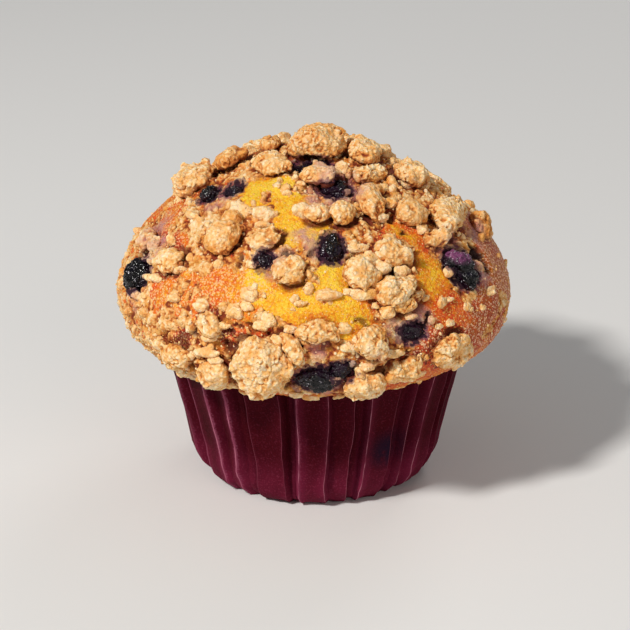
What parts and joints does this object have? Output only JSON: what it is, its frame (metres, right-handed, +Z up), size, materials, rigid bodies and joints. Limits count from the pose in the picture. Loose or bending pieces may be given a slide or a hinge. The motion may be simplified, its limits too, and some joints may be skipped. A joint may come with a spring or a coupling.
{
  "type": "muffin",
  "caption": "Large domed berry muffin with lumps of butter crumble on top, baked in a pleated burgundy paper case.",
  "frame": {"origin": "centre of the flat underside of the paper case", "axes": "+Z up through the middle of the dome, -Y towards the front, +X to the right seen from the front"},
  "size_m": [0.0966, 0.1023, 0.0898],
  "materials": {
    "cake": "golden baked crumb, browned in patches, matte",
    "crumble": "sandy baked butter crumble, matte",
    "berry": "dark baked berry skin, moist gloss",
    "paper": "burgundy baking paper, pleated, slight sheen"
  },
  "bodies": {
    "root": {"paper_case": "paper", "cake": "cake", "berry_01": "berry", "berry_02": "berry", "berry_03": "berry", "berry_04": "berry", "berry_05": "berry", "berry_06": "berry", "berry_07": "berry", "berry_08": "berry", "berry_09": "berry", "berry_10": "berry", "berry_11": "berry", "berry_12": "berry", "berry_13": "berry", "berry_14": "berry", "crumble_01": "crumble", "crumble_02": "crumble", "crumble_03": "crumble", "crumble_04": "crumble", "crumble_05": "crumble", "crumble_06": "crumble", "crumble_07": "crumble", "crumble_08": "crumble", "crumble_09": "crumble", "crumble_10": "crumble", "crumble_11": "crumble", "crumble_12": "crumble", "crumble_13": "crumble", "crumble_14": "crumble", "crumble_15": "crumble", "crumble_16": "crumble", "crumble_17": "crumble", "crumble_18": "crumble", "crumble_19": "crumble", "crumble_20": "crumble", "crumble_21": "crumble", "crumble_22": "crumble", "crumble_23": "crumble", "crumble_24": "crumble", "crumble_25": "crumble", "crumble_26": "crumble", "crumble_27": "crumble", "crumble_28": "crumble", "crumble_29": "crumble", "crumble_30": "crumble", "crumble_31": "crumble", "crumble_32": "crumble", "crumble_33": "crumble", "crumble_34": "crumble", "crumble_35": "crumble", "crumble_36": "crumble", "crumble_37": "crumble", "crumble_38": "crumble", "crumble_39": "crumble", "crumble_40": "crumble", "crumble_41": "crumble", "crumble_42": "crumble", "crumble_43": "crumble"}
  },
  "joints": []
}
